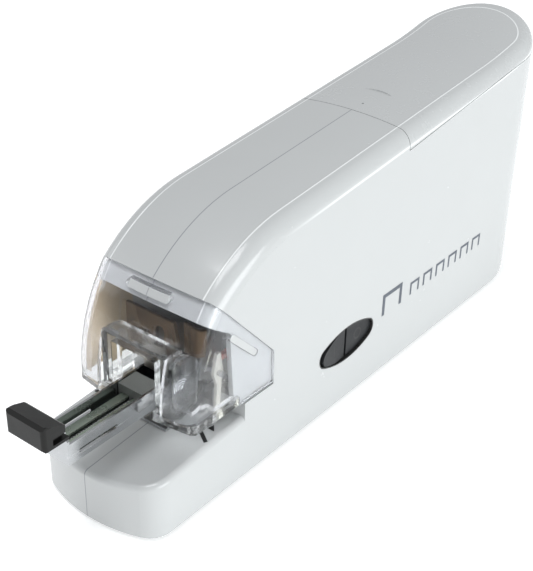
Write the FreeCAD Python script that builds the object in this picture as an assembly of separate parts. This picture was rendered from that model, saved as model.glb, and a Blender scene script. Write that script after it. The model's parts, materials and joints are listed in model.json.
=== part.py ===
import FreeCAD, Part
import math
import os
from FreeCAD import Vector

# Electric desk stapler.  Millimetres, +Z up, front (nose) towards -Y, power switch on +X.
# The origin is on the floor, under the middle of the stapler with its magazine pulled out.

# ---- driving dimensions -------------------------------------------------------------
BODY_W = 50.0                 # width over the two housing halves
FOOT_H = 1.5                  # how far the rubber feet hold the housing off the floor
ROOF_FRONT = -76.5            # y of the roof's front edge; back(s) counts from here
REAR = 207.0                  # housing's rear end, behind the roof's front edge
NOSE = -33.0                  # housing's nose, in front of the roof's front edge
ROOF_SLOPE = 0.101            # the roof climbs towards the rear
ROOF_START = 36.0             # where the bent front of the roof meets its straight part
ROOF_START_Z = 89.0
ROOF_FRONT_Z = 72.5
ROOF_TURN = 160.0             # behind this the roof curves up a little more ...
ROOF_TURN_R = 184.0           # ... on this radius
HEEL_S = 178.0                # the underside rounds up to the rear from here
HEEL_R = 30.2
ROOF_FILLET = 6.0
BEND_R = 12.0                 # between the roof's bent front and the cover's front
CROWN_R = 160.0               # the roof is slightly round from side to side
CROWN_EDGE = 19.0             # roof heights are given this far from the middle
HEAD_BOTTOM = 31.5            # underside of the head, above the paper throat
HEAD_FRONT = -12.4            # foremost point of the clear cover
BROW_FOOT_Z = 36.0            # the cover's front is upright below this height
THROAT_REAR = 14.0            # how far back paper goes
BASE_TOP_FRONT = 22.4         # base's side edges at the nose ...
BASE_TOP_REAR = 25.9          # ... and at the back of the throat
DISH_DEPTH = 2.6              # the base's top is hollow in the middle
DISH_HALF = 25.5
NOSE_R = 53.7                 # the nose's flat arc, seen from above, and its corners
CORNER_R = 8.5
NOSE_FILLET = 1.8
WALL = 2.2                    # housing wall
COVER_T = 1.6                 # clear cover's wall
COVER_GAP = 0.15              # between the cover and the recess it sits in
LIP_T = 1.8                   # recessed housing lip under the cover
DOOR_FRONT = 101.6            # battery door's front edge
DOOR_EDGE_Z = 88.4            # height of the door's lower edge at its front
DOOR_SLOPE = 0.133            # the edge, and the door's sliding, climb this much
THUMB_S = 107.8               # centre of the thumb notch's round rear edge
THUMB_R = 11.9
PART_GAP = 0.3                # between pieces that move past each other

MAG_W = 12.5                  # magazine channel, outside
MAG_BOTTOM = 31.9
MAG_TOP = 39.2
MAG_T = 0.8
MAG_FRONT = -44.0             # magazine pulled out
MAG_LEN = 100.0
MAG_TRAVEL = 42.0
TAB_W = 16.2
TAB_FRONT = -54.0
TAB_DEPTH = 8.2
TAB_BOTTOM = 43.2
TAB_TOP = 51.6

HEAD_GAP = 0.3                # magazine inside its guide
PIVOT_S = 105.0               # shaft that the head and the press arm turn on
PIVOT_Z = 44.5
PIVOT_R = 2.5
SHAFT_CLEAR = 0.05            # running clearance of a shaft in its hole, on the radius
CHASSIS_X = 12.0              # inner face of each steel side plate
CHASSIS_T = 1.2

ROLLER_R = 4.0
ROLLER_PIN_R = 1.5
CAM_S = 42.0
CAM_Z = 63.0
CAM_REST = 11.0               # cam centre to roller centre at rest
CAM_TRAVEL = 150.0            # degrees of turn that press the arm down
ARM_TRAVEL = 7.0              # degrees
HEAD_TRAVEL = 3.5             # degrees; the magazine only comes down to the paper

CAM_TEETH, CAM_MODULE = 32, 1.0
SMALL_TEETH = 10
SECOND_TEETH, SECOND_MODULE = 44, 0.7
FIRST_TEETH, FIRST_MODULE = 36, 0.6
SECOND_ANGLE = -3.0           # direction from one gear's centre to the next, degrees
FIRST_ANGLE = 16.0
MOTOR_ANGLE = -27.0
GEAR_X = 14.2                 # inner face of the inner row of gears
GEAR_T = 3.2
ROW_GAP = 0.5
SHAFT_R = 1.5
CAM_SHAFT_R = 2.5
MOTOR_R = 12.2
MOTOR_LEN = 30.8
MOTOR_HOLE_PITCH = 8.0        # its two screws, each side of the shaft
MOTOR_SHAFT_R = 1.0

CELL_R = 7.2
CELL_LEN = 50.5
CELL_PITCH = 14.8
TRAY_S = 112.0                # front of the battery tray
TRAY_Z = 56.0                 # its floor

SWITCH_S, SWITCH_Z = 70.7, 25.0
SWITCH_LEN, SWITCH_H = 33.0, 14.0
SWITCH_END_R = 4.2            # radius of the oval's two ends

COVER_TIP = 28.3              # point of the clear cover's tab on the body's side
COVER_TIP_Z = 43.3
SLOT_HALF = 10.6              # slot in the wall behind the throat, for the guide
JACK_R = 4.0
JACK_Z = 38.0
# housing screws, (s, z)
BOSSES = [(-22, 10), (26, 9), (118, 9), (180, 9), (180, 56)]
BOSS_R = 3.2
FEET = [(-17, -16), (17, -16), (-14, 170), (14, 170)]
FOOT_R = 5.0
BOARD_X = -19.0               # left face of the circuit board
BOARD_PEGS = [(127, 16.5), (175, 45)]

HALF = BODY_W / 2.0
ROOF_ANGLE = math.atan(ROOF_SLOPE)


def back(s):
    """y of a point s millimetres behind the roof's front edge."""
    return ROOF_FRONT + s


def roof_z(s):
    """Height of the roof's straight part at its side edges."""
    return ROOF_START_Z + ROOF_SLOPE * (s - ROOF_START)


# ---- small shape helpers -----------------------------------------------------------
def box(x0, x1, s0, s1, z0, z1):
    return Part.makeBox(x1 - x0, s1 - s0, z1 - z0, Vector(x0, back(s0), z0))


def rod(radius, x0, x1, s, z):
    """Cylinder across the stapler."""
    return Part.makeCylinder(radius, x1 - x0, Vector(x0, back(s), z), Vector(1, 0, 0))


def post(radius, x, s, z0, z1):
    """Upright cylinder."""
    return Part.makeCylinder(radius, z1 - z0, Vector(x, back(s), z0), Vector(0, 0, 1))


def lengthwise(radius, x, s0, s1, z):
    """Cylinder along the stapler."""
    return Part.makeCylinder(radius, s1 - s0, Vector(x, back(s0), z), Vector(0, 1, 0))


def side_wire(points, x):
    """Closed outline in a side plane.  A 4-tuple (s, z, s_mid, z_mid) arrives by an arc."""
    edges = []
    last = points[0]
    for point in list(points[1:]) + [points[0]]:
        start = Vector(x, back(last[0]), last[1])
        end = Vector(x, back(point[0]), point[1])
        if len(point) == 4:
            middle = Vector(x, back(point[2]), point[3])
            edges.append(Part.Arc(start, middle, end).toShape())
        elif (end - start).Length > 1e-6:
            edges.append(Part.LineSegment(start, end).toShape())
        last = point
    return Part.Wire(edges)


def side_prism(points, x0, x1):
    face = Part.Face(side_wire(points, x0))
    return face.extrude(Vector(x1 - x0, 0, 0))


def plan_prism(points, z0, z1):
    """As side_prism, for an outline (x, s) seen from above."""
    edges = []
    last = points[0]
    for point in list(points[1:]) + [points[0]]:
        start = Vector(last[0], back(last[1]), z0)
        end = Vector(point[0], back(point[1]), z0)
        if len(point) == 4:
            middle = Vector(point[2], back(point[3]), z0)
            edges.append(Part.Arc(start, middle, end).toShape())
        elif (end - start).Length > 1e-6:
            edges.append(Part.LineSegment(start, end).toShape())
        last = point
    return Part.Face(Part.Wire(edges)).extrude(Vector(0, 0, z1 - z0))


def front_prism(points, s0, s1):
    """Prism along the stapler from an outline (x, z)."""
    corners = [Vector(x, back(s0), z) for x, z in points]
    corners.append(corners[0])
    face = Part.Face(Part.makePolygon(corners))
    return face.extrude(Vector(0, s1 - s0, 0))


def side_slot(s0, z0, s1, z1, width, x0, x1):
    """Obround prism across the stapler, from one end's centre to the other's."""
    radius = width / 2.0
    run = math.hypot(s1 - s0, z1 - z0)
    us, uz = (s1 - s0) / run, (z1 - z0) / run
    points = [
        (s0 - uz * radius, z0 + us * radius),
        (s0 + uz * radius, z0 - us * radius, s0 - us * radius, z0 - uz * radius),
        (s1 + uz * radius, z1 - us * radius),
        (s1 - uz * radius, z1 + us * radius, s1 + us * radius, z1 + uz * radius),
    ]
    return side_prism(points, x0, x1)


def rounded(shape, radius, chooser):
    """Fillet every edge that chooser picks."""
    edges = [edge for edge in shape.Edges if chooser(edge)]
    return shape.makeFillet(radius, edges)


def coil(radius, wire, pitch, length, centre, axis):
    """Round-wire compression spring along axis, starting at centre."""
    helix = Part.makeHelix(pitch, length, radius)
    section = Part.Wire(Part.makeCircle(wire, Vector(radius, 0, 0), Vector(0, 1, 0)))
    spring = Part.Wire(helix.Edges).makePipeShell([section], True, True)
    spring.Placement = FreeCAD.Placement(centre, FreeCAD.Rotation(Vector(0, 0, 1), axis))
    return spring


def screw(head_r, head_h, shank_r, length, head_centre, axis):
    """Pan-head screw with a cross slot; axis points from the head into the work."""
    axis = Vector(axis).normalize()
    head = Part.makeCylinder(head_r, head_h, head_centre, axis)
    shank = Part.makeCylinder(shank_r, length, head_centre + axis * head_h, axis)
    side = axis.cross(Vector(0.3, 0.5, 0.8)).normalize()
    other = axis.cross(side)
    blade = Part.makeBox(head_r * 1.2, head_r * 0.25, head_h * 0.6)
    blade.translate(Vector(-head_r * 0.6, -head_r * 0.125, 0))
    cross = blade.fuse(blade.rotated(Vector(0, 0, 0), Vector(0, 0, 1), 90))
    turn = FreeCAD.Rotation(side, other, axis, "XYZ")
    cross.Placement = FreeCAD.Placement(head_centre, turn)
    return head.cut(cross).fuse(shank)


def group(shapes):
    return Part.makeCompound(shapes)


# ---- the outer form ----------------------------------------------------------------
def knee():
    """Centre and radius of the arc that bends the roof down to its front edge."""
    drop = ROOF_START_Z - ROOF_FRONT_Z
    sin_a, cos_a = math.sin(ROOF_ANGLE), math.cos(ROOF_ANGLE)
    radius = (ROOF_START ** 2 + drop ** 2) / (2 * (drop * cos_a - ROOF_START * sin_a))
    return ROOF_START + radius * sin_a, ROOF_START_Z - radius * cos_a, radius


def brow():
    """Centre and radius of the clear cover's front, upright at its foot."""
    rise = ROOF_FRONT_Z - BROW_FOOT_Z
    radius = (HEAD_FRONT ** 2 + rise ** 2) / (2 * -HEAD_FRONT)
    return HEAD_FRONT + radius, BROW_FOOT_Z, radius


def brow_top(inset):
    """Where the two arcs meet, both moved inwards by inset."""
    s1, z1, r1 = knee()
    s2, z2, r2 = brow()
    r1 -= inset
    r2 -= inset
    gap = math.hypot(s2 - s1, z2 - z1)
    us, uz = (s2 - s1) / gap, (z2 - z1) / gap
    along = (r1 ** 2 - r2 ** 2 + gap ** 2) / (2 * gap)
    off = math.sqrt(r1 ** 2 - along ** 2)
    return s1 + us * along - uz * off, z1 + uz * along + us * off


def on_arc(centre_s, centre_z, radius, degrees):
    angle = math.radians(degrees)
    return centre_s + radius * math.cos(angle), centre_z + radius * math.sin(angle)


def roof_section(half, fillet, crown, depth):
    """Cross-section of the roof: z = 0 at the roof's edge line, soft corners."""
    centre_z = math.sqrt(CROWN_R ** 2 - CROWN_EDGE ** 2)
    rise = CROWN_R - crown
    if fillet:
        fillet_x = half - fillet
        fillet_z = math.sqrt((crown - fillet) ** 2 - fillet_x ** 2) - centre_z
        touch = crown / (crown - fillet)
        touch_x = fillet_x * touch
        touch_z = (fillet_z + centre_z) * touch - centre_z
        lean = math.atan2(touch_z - fillet_z, touch_x - fillet_x) / 2
        mid_x = fillet_x + fillet * math.cos(lean)
        mid_z = fillet_z + fillet * math.sin(lean)
    else:
        fillet_z = touch_z = math.sqrt(crown ** 2 - half ** 2) - centre_z
        touch_x = half
    shift = Vector(0, 0, rise)
    left = Vector(-touch_x, 0, touch_z) + shift
    right = Vector(touch_x, 0, touch_z) + shift
    top = Vector(0, 0, crown - centre_z) + shift
    edges = [Part.Arc(left, top, right).toShape()]
    right_side = Vector(half, 0, fillet_z) + shift
    left_side = Vector(-half, 0, fillet_z) + shift
    if fillet:
        right_mid = Vector(mid_x, 0, mid_z) + shift
        left_mid = Vector(-mid_x, 0, mid_z) + shift
        edges.append(Part.Arc(right, right_mid, right_side).toShape())
    low_right = Vector(half, 0, -depth)
    low_left = Vector(-half, 0, -depth)
    edges.append(Part.LineSegment(right_side, low_right).toShape())
    edges.append(Part.LineSegment(low_right, low_left).toShape())
    edges.append(Part.LineSegment(low_left, left_side).toShape())
    if fillet:
        edges.append(Part.Arc(left_side, left_mid, left).toShape())
    return Part.Face(Part.Wire(edges))


def bent_band(section, centre_s, centre_z, radius, start, end):
    """Section swept about an axis across the stapler, from angle start to end."""
    band = section.copy()
    band.translate(Vector(0, 0, radius))
    band.rotate(Vector(0, 0, 0), Vector(1, 0, 0), start - 90)
    band = band.revolve(Vector(0, 0, 0), Vector(1, 0, 0), end - start)
    band.translate(Vector(0, back(centre_s), centre_z))
    return band


def angle_of(centre_s, centre_z, s, z):
    return math.degrees(math.atan2(z - centre_z, s - centre_s))


def upper_form(inset, bottom, step):
    """The whole upper body, clear cover included, moved inwards by inset."""
    half = HALF - inset
    fillet = ROOF_FILLET - inset
    crown = CROWN_R - inset
    slope = math.degrees(ROOF_ANGLE)
    knee_s, knee_z, knee_r = knee()
    brow_s, brow_z, brow_r = brow()

    # rear body: plan outline under the crowned, sloping roof
    centre = REAR - HALF
    plan = [(-half, -20), (half, -20), (half, centre), (-half, centre, 0, centre + half)]
    start_s, start_z = on_arc(knee_s, knee_z, knee_r - inset, 90 + slope)
    section = roof_section(half + 5, 0, crown, 130)
    run = (ROOF_TURN - ROOF_START) / math.cos(ROOF_ANGLE)
    slab = section.extrude(Vector(0, run, 0))
    section.translate(Vector(0, run, 0))
    turn_centre = Vector(0, run, ROOF_TURN_R + inset)
    slab = slab.fuse(section.revolve(turn_centre, Vector(1, 0, 0), 18))
    slab.rotate(Vector(0, 0, 0), Vector(1, 0, 0), slope)
    slab.translate(Vector(0, back(start_s), start_z))
    rear = plan_prism(plan, bottom, 130).common(slab)

    def top_edge(edge):
        middle = edge.valueAt((edge.FirstParameter + edge.LastParameter) / 2)
        high = middle.y > back(start_s) + 3 and middle.z > 85
        return high and (abs(abs(middle.x) - half) < 0.01 or middle.y > back(centre + half) - 0.1)

    rear = rounded(rear, fillet, top_edge)

    # bent front of the roof, front of the cover, and the core under both
    band = roof_section(half, fillet, crown, fillet + 3)
    bend = brow_top(BEND_R)
    knee_end = angle_of(knee_s, knee_z, *bend)
    brow_start = angle_of(brow_s, brow_z, *bend)
    pieces = [
        bent_band(band, knee_s, knee_z, knee_r - inset, 90 + slope, knee_end),
        bent_band(band, *bend, BEND_R - inset, knee_end, brow_start),
        bent_band(band, brow_s, brow_z, brow_r - inset, brow_start, 180),
    ]
    foot = band.copy()
    foot.rotate(Vector(0, 0, 0), Vector(1, 0, 0), 90)
    foot.translate(Vector(0, back(HEAD_FRONT + inset), BROW_FOOT_Z))
    pieces.append(foot.extrude(Vector(0, 0, HEAD_BOTTOM - BROW_FOOT_Z)))
    inner = inset + fillet
    kink_in = brow_top(inner)
    mid_knee = (knee_end + 90 + slope) / 2
    mid_brow = (angle_of(brow_s, brow_z, *kink_in) + 180) / 2
    top = on_arc(knee_s, knee_z, knee_r - inner, 90 + slope)
    core = [
        (step, bottom),
        (step, HEAD_BOTTOM),
        (HEAD_FRONT + inner, HEAD_BOTTOM),
        (HEAD_FRONT + inner, BROW_FOOT_Z),
        kink_in + on_arc(brow_s, brow_z, brow_r - inner, mid_brow),
        top + on_arc(knee_s, knee_z, knee_r - inner, mid_knee),
        (top[0] + (top[1] - bottom) * ROOF_SLOPE, bottom),
    ]
    pieces.append(side_prism(core, -half, half))
    form = rear
    for piece in pieces:
        form = form.fuse(piece)
    return form.removeSplitter()


def heel(inset):
    """What the round rear end of the underside takes away."""
    radius = HEEL_R - inset
    centre_z = FOOT_H + HEEL_R
    middle = on_arc(HEEL_S, centre_z, radius, -45)
    return side_prism([
        (HEEL_S, centre_z - radius), (HEEL_S + radius, centre_z) + middle,
        (REAR + 10, centre_z), (REAR + 10, -5), (HEEL_S, -5)], -30, 30)


def dish_z(s):
    """Height of the base's top along its middle."""
    rise = (BASE_TOP_REAR - BASE_TOP_FRONT) / (THROAT_REAR - NOSE)
    return BASE_TOP_FRONT - DISH_DEPTH + rise * (s - NOSE)


def base_form(inset):
    """The base: nose, dished top and the floor of the throat."""
    half = HALF - inset
    nose = NOSE + inset
    # the nose's flat arc runs into the corners' arcs without a kink
    centre_s = NOSE + NOSE_R
    reach = NOSE_R - CORNER_R
    corner_x = HALF - CORNER_R
    corner_s = centre_s - math.sqrt(reach ** 2 - corner_x ** 2)
    lean = math.atan2(corner_s - centre_s, corner_x)
    join_x = (NOSE_R - inset) * math.cos(lean)
    join_s = centre_s + (NOSE_R - inset) * math.sin(lean)
    mid_x = corner_x + (CORNER_R - inset) * math.cos(lean / 2)
    mid_s = corner_s + (CORNER_R - inset) * math.sin(lean / 2)
    plan = [
        (-half, 30), (half, 30), (half, corner_s), (join_x, join_s, mid_x, mid_s),
        (-join_x, join_s, 0, nose), (-half, corner_s, -mid_x, mid_s),
    ]
    rise = (BASE_TOP_REAR - BASE_TOP_FRONT) / (THROAT_REAR - NOSE)
    side = [
        (30, FOOT_H + inset), (nose - 5, FOOT_H + inset),
        (nose - 5, BASE_TOP_FRONT - inset - rise * 5),
        (30, BASE_TOP_REAR - inset + rise * (30 - THROAT_REAR)),
    ]
    form = plan_prism(plan, 0, 60).common(side_prism(side, -half - 1, half + 1))
    radius = (DISH_HALF ** 2 + DISH_DEPTH ** 2) / (2 * DISH_DEPTH)
    dish = Part.makeCylinder(radius + inset, 120, Vector(0, 0, 0), Vector(0, 1, 0))
    dish.rotate(Vector(0, 0, 0), Vector(1, 0, 0), math.degrees(math.atan(rise)))
    dish.translate(Vector(0, back(NOSE - 10), dish_z(NOSE - 10) + radius))
    form = form.cut(dish)

    def rim(edge):
        middle = edge.valueAt((edge.FirstParameter + edge.LastParameter) / 2)
        on_side = abs(abs(middle.x) - half) < 0.01 and edge.BoundBox.YLength > 20
        at_nose = middle.y < back(NOSE + 12) and edge.BoundBox.XLength > 2
        return middle.z > 14 and (on_side or at_nose)

    if inset:
        return form
    return rounded(form, NOSE_FILLET, rim)


# ---- the clear cover and what it leaves of the housing ------------------------------
def cover_outline(grow):
    """Side outline of the region the clear cover takes: front, and a pointed tab."""
    return [
        (-20, HEAD_BOTTOM - 1), (-20, 85.2 + grow), (1.0, ROOF_FRONT_Z + 0.1 + grow),
        (COVER_TIP + grow, COVER_TIP_Z + grow), (COVER_TIP + grow, HEAD_BOTTOM - 1),
    ]




SIDE_SLOT = (7.7, 58.4, 18.6, 47.8)
SIDE_SLOT_W = 2.6
FRONT_SLOT_HALF = 9.0
FRONT_SLOT_Z0, FRONT_SLOT_Z1 = 68.8, 71.4
FRONT_SLOT_R = 1.2


def shell(outer_inset, inner_inset):
    """Skin of the upper body between two insets."""
    outer = upper_form(outer_inset, FOOT_H, THROAT_REAR)
    inner = upper_form(inner_inset, FOOT_H - 5, THROAT_REAR - 5)
    return outer.cut(inner).cut(box(-30, 30, -20, THROAT_REAR + 30, 0, HEAD_BOTTOM))


def door_region(above, s0):
    """Everything higher than a line this far above the door's edge, from s0 to the rear."""
    start = DOOR_EDGE_Z + above + DOOR_SLOPE * (s0 - DOOR_FRONT)
    end = DOOR_EDGE_Z + above + DOOR_SLOPE * (REAR + 20 - DOOR_FRONT)
    return side_prism([(s0, start), (REAR + 20, end), (REAR + 20, 140), (s0, 140)], -40, 40)


def housing_ribs():
    """Guides the side plates stand in, ledges for the battery tray, pegs for the board."""
    floor = FOOT_H + WALL
    ribs = []
    for side in (-1, 1):
        for s0, s1 in ((32, 44), (99.5, 110)):
            for inner in (CHASSIS_X - 1.8, CHASSIS_X + CHASSIS_T + 0.1):
                x0, x1 = sorted((side * inner, side * (inner + 1.7)))
                ribs.append(box(x0, x1, s0, s1, floor - 1, floor + 3.5))
        for s in (116, 158):
            x0, x1 = sorted((side * 19.5, side * (HALF - 1)))
            ribs.append(box(x0, x1, s, s + 3, TRAY_Z - 4, TRAY_Z))
    for s, z in BOARD_PEGS:
        ribs.append(rod(2.8, -HALF + 1, BOARD_X, s, z))
        ribs.append(rod(1.55, BOARD_X, BOARD_X + 2.2, s, z))
    return ribs


RAIL_LAP = 4.0                # how far the door's rail reaches down behind the wall
RAIL_RISE = 1.2               # and up behind the door's side


def snap_bosses():
    """Bosses on the recessed lip that fill the clear cover's slots."""
    depth = COVER_T + COVER_GAP
    skin = shell(0.25, depth + 0.4)
    front = box(-8.0, 8.0, -12, 2, FRONT_SLOT_Z0 + 0.2, FRONT_SLOT_Z1 - 0.2)
    sides = side_slot(*SIDE_SLOT, SIDE_SLOT_W - 0.4, -40, 40)
    return [skin.common(front), skin.common(sides)]


def housing():
    """Both halves of the housing in one, before it is split down the middle."""
    outer = upper_form(0, FOOT_H, THROAT_REAR).fuse(base_form(0)).cut(heel(0))
    cavity = upper_form(WALL, FOOT_H + WALL, THROAT_REAR + WALL)
    cavity = cavity.fuse(base_form(WALL)).cut(heel(WALL))
    body = outer.cut(cavity)
    # the head is open underneath; the cross wall behind the throat has a slot
    body = body.cut(box(-HALF + WALL, HALF - WALL, HEAD_FRONT - 1, THROAT_REAR, 28.0, HEAD_BOTTOM + 3))
    body = body.cut(box(-SLOT_HALF, SLOT_HALF, 10, THROAT_REAR + WALL + 1, 22.6, HEAD_BOTTOM + 6))
    body = body.cut(side_prism(cover_outline(COVER_GAP), -40, 40))
    for s, z in BOSSES:
        body = body.fuse(rod(BOSS_R, -HALF + 1, HALF - 1, s, z))
    for piece in housing_ribs():
        body = body.fuse(piece)
    # recessed lip that the clear cover snaps on to, and the left cheek behind it
    lip = shell(COVER_T + COVER_GAP, COVER_T + COVER_GAP + LIP_T)
    behind = lip.common(side_prism(cover_outline(4.0), -40, 40))
    lip_low = side_prism([
        (-20, 0), (-20, 75.0), (-2.6, 66.6), (7.5, 60.0), (9.4, 35.0), (11.4, 34.9), (11.4, 0)], -40, 40)
    body = body.fuse(behind.cut(lip_low))
    cheek = behind.common(box(-40, -19.4, -8.6, 12, HEAD_BOTTOM + 3.5, 68))
    body = body.fuse(cheek)
    for boss in snap_bosses():
        body = body.fuse(boss)
    # battery door's opening, with a recessed rail for the door to slide on
    body = body.cut(door_region(0, DOOR_FRONT))
    rail = shell(WALL - 0.2, WALL + 1.8).common(door_region(-RAIL_LAP, DOOR_FRONT - RAIL_LAP))
    rail = rail.cut(door_region(RAIL_RISE, 0))
    rail = rail.common(box(-40, 40, 0, REAR - HALF, 0, 140))
    rail = rail.cut(box(-40, 40, DOOR_FRONT, DOOR_FRONT + 0.3, 90, 140))
    body = body.fuse(rail)
    body = body.cut(rocker_outline(0, 10, 40))
    body = body.cut(lengthwise(JACK_R, 0, REAR - 8, REAR + 2, JACK_Z))
    body = body.cut(box(-8, 8, -5, 5, 22.0, 26))
    for x in (-6.2, 6.2):
        body = body.cut(post(0.9, x, 2.6, 19, 23))
    for x, s in FEET:
        body = body.cut(post(FOOT_R, x, s, FOOT_H - 1, FOOT_H + 0.8))
    return body


def housing_half(whole, side):
    """One half; the right one has the screw sockets, the left one the head recesses."""
    x0, x1 = sorted((0, side * 30))
    half = whole.common(box(x0, x1, -60, 260, -1, 140))
    for s, z in BOSSES:
        if side > 0:
            half = half.cut(rod(0.8, 0, 12, s, z))
        else:
            half = half.cut(rod(1.2, -30, 0, s, z)).cut(rod(2.3, -30, -HALF + 3.0, s, z))
    return max(half.Solids, key=lambda solid: solid.Volume)


def housing_screws():
    return group([screw(2.2, 1.5, 0.8, 33.0, Vector(-HALF + 1.4, back(s), z), (1, 0, 0))
                  for s, z in BOSSES])


def rubber_feet():
    return group([post(FOOT_R, x, s, 0, FOOT_H + 0.8).cut(post(FOOT_R - 2, x, s, -1, 0.4))
                  for x, s in FEET])


THUMB_DEPTH = 0.4


def battery_door():
    door = shell(0, 1.8).common(door_region(PART_GAP, DOOR_FRONT + PART_GAP))
    # thumb notch: flush in front, deepest at its round rear edge
    front, rear = THUMB_S + 9.5, THUMB_S + THUMB_R
    crown = 1.15
    ramp = side_prism([
        (front, roof_z(front) + crown), (rear, roof_z(rear) + crown - THUMB_DEPTH),
        (rear + 2, 110), (front, 110)], -40, 40)
    notch = post(THUMB_R, 0, THUMB_S, 90, 110).common(ramp)
    pip = post(0.5, 0.5, THUMB_S, roof_z(THUMB_S) + crown - 0.3, 110)
    return door.cut(notch).cut(pip)


# ---- clear front ---------------------------------------------------------------------
FLANGE_T = 3.2
FLANGE_REAR = 11.0
FLANGE_HALF = 24.8
FLANGE_FRONT = -10.4          # at its corners; it bulges to the head's front in the middle
FLANGE_CORNER = 2.0
PORTAL_HALF = 9.2
PORTAL_OUT = 13.2
PORTAL_TOP = 54.4
PORTAL_FRONT = -10.4
PORTAL_DEPTH = 8.4
PILLAR_DEPTH = 4.6


def front_cover():
    cover = shell(0, COVER_T).common(side_prism(cover_outline(0), -40, 40))
    flange_top = HEAD_BOTTOM + FLANGE_T + 0.1
    cover = cover.cut(box(-40, 40, -30, FLANGE_REAR + 0.2, 0, flange_top))
    cover = cover.cut(box(-PORTAL_OUT - 0.2, PORTAL_OUT + 0.2, -20, -1.6, 0, PORTAL_TOP + 0.2))
    front_slot = box(-FRONT_SLOT_HALF, FRONT_SLOT_HALF, -12, 2, FRONT_SLOT_Z0, FRONT_SLOT_Z1)
    front_slot = rounded(front_slot, FRONT_SLOT_R, lambda edge: edge.BoundBox.YLength > 5)
    return cover.cut(front_slot).cut(side_slot(*SIDE_SLOT, SIDE_SLOT_W, -40, 40))


def paper_guard():
    """Clear portal that the magazine slides out of, on a flange over the paper."""
    half, corner = FLANGE_HALF, FLANGE_CORNER
    near = 0.3 * corner
    side_s = FLANGE_FRONT + corner
    flange = plan_prism([
        (-half, FLANGE_REAR), (half, FLANGE_REAR), (half, side_s),
        (half - corner, FLANGE_FRONT, half - near, FLANGE_FRONT + near),
        (-half + corner, FLANGE_FRONT, 0, HEAD_FRONT),
        (-half, side_s, -half + near, FLANGE_FRONT + near)], HEAD_BOTTOM, HEAD_BOTTOM + FLANGE_T)
    flange = flange.cut(box(-PORTAL_HALF, PORTAL_HALF, -20, 20, 0, 60))
    flange = flange.cut(box(-18.5, 18.5, -4, 20, 0, 60))
    flange = flange.cut(box(17.4, 21.6, 2.0, 20, 0, 60))
    parts = [flange]
    low = HEAD_BOTTOM + 1
    for side in (-1, 1):
        x0, x1 = sorted((side * PORTAL_HALF, side * PORTAL_OUT))
        parts.append(box(x0, x1, PORTAL_FRONT, PORTAL_FRONT + PILLAR_DEPTH, low, PORTAL_TOP))
        y0, y1 = sorted((side * PORTAL_OUT, side * (PORTAL_OUT + 1.8)))
        cheek = [
            (-8.0, low), (-8.0, 50.5), (-6.0, 53.0), (3.4, 47.0, -1.2, 52.4), (3.4, low)]
        parts.append(side_prism(cheek, y0, y1))
    rear = PORTAL_FRONT + PORTAL_DEPTH
    parts.append(box(-PORTAL_OUT, PORTAL_OUT, PORTAL_FRONT, rear, PORTAL_TOP - 2.4, PORTAL_TOP))
    guard = parts[0]
    for piece in parts[1:]:
        guard = guard.fuse(piece)
    bevel = 1.2
    for side in (-1, 1):
        edge = front_prism([
            (side * (PORTAL_OUT + 1), low + 3),
            (side * (PORTAL_OUT + 1), PORTAL_TOP + 1),
            (side * (PORTAL_OUT - bevel), PORTAL_TOP + 1),
            (side * (PORTAL_OUT + 1), PORTAL_TOP - bevel - 1),
        ], -30, 10)
        guard = guard.cut(edge)
    return guard.removeSplitter()


# ---- magazine ------------------------------------------------------------------------
MAG_HALF = MAG_W / 2.0
MAG_IN = MAG_HALF - MAG_T
TONGUE_Z = 44.8


def magazine_channel():
    rear = MAG_FRONT + MAG_LEN
    channel = box(-MAG_HALF, MAG_HALF, MAG_FRONT + MAG_T, rear, MAG_BOTTOM, MAG_TOP)
    channel = channel.cut(box(-MAG_IN, MAG_IN, MAG_FRONT, rear - MAG_T, MAG_BOTTOM + MAG_T, MAG_TOP + 1))
    channel = channel.cut(side_slot(-39.0, 34.9, -24.4, 34.9, 1.3, -20, 20))
    # staples leave through this slot in the floor
    return channel.cut(box(-MAG_IN, MAG_IN, MAG_FRONT + MAG_T, MAG_FRONT + 2.4, 0, MAG_BOTTOM + 2))


def magazine_end():
    """Front wall of the channel, with the tongue that carries the pull tab."""
    wall = front_prism([
        (-MAG_HALF, MAG_BOTTOM), (MAG_HALF, MAG_BOTTOM), (MAG_HALF, MAG_TOP + 1.2), (5.0, MAG_TOP + 2.6),
        (5.0, TONGUE_Z + MAG_T), (-5.0, TONGUE_Z + MAG_T), (-5.0, MAG_TOP + 2.6),
        (-MAG_HALF, MAG_TOP + 1.2),
    ], MAG_FRONT, MAG_FRONT + MAG_T)
    return wall.fuse(box(-5.0, 5.0, MAG_FRONT - 6.0, MAG_FRONT + 0.4, TONGUE_Z, TONGUE_Z + MAG_T))


CORE_HALF = 4.0
CORE_TOP = 35.6
CORE_T = 0.7


def staple_core():
    """Inner rail that the staples straddle, slotted for the pusher's tongue."""
    front = MAG_FRONT + 3.0
    length = 40.0
    core = box(-CORE_HALF, CORE_HALF, front, front + length, MAG_BOTTOM + MAG_T, CORE_TOP)
    core = core.cut(box(-CORE_HALF + CORE_T, CORE_HALF - CORE_T, front - 1, front + length + 1,
                        MAG_BOTTOM + MAG_T, CORE_TOP - CORE_T))
    return core.cut(box(-1.0, 1.0, front + 2.0, front + length + 1, CORE_TOP - 1, CORE_TOP + 1)).fuse(
        box(-CORE_HALF, CORE_HALF, front, front + 1.2, MAG_BOTTOM + MAG_T, CORE_TOP))


PUSHER_S = -12.0
PUSHER_LEN = 8.0


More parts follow.
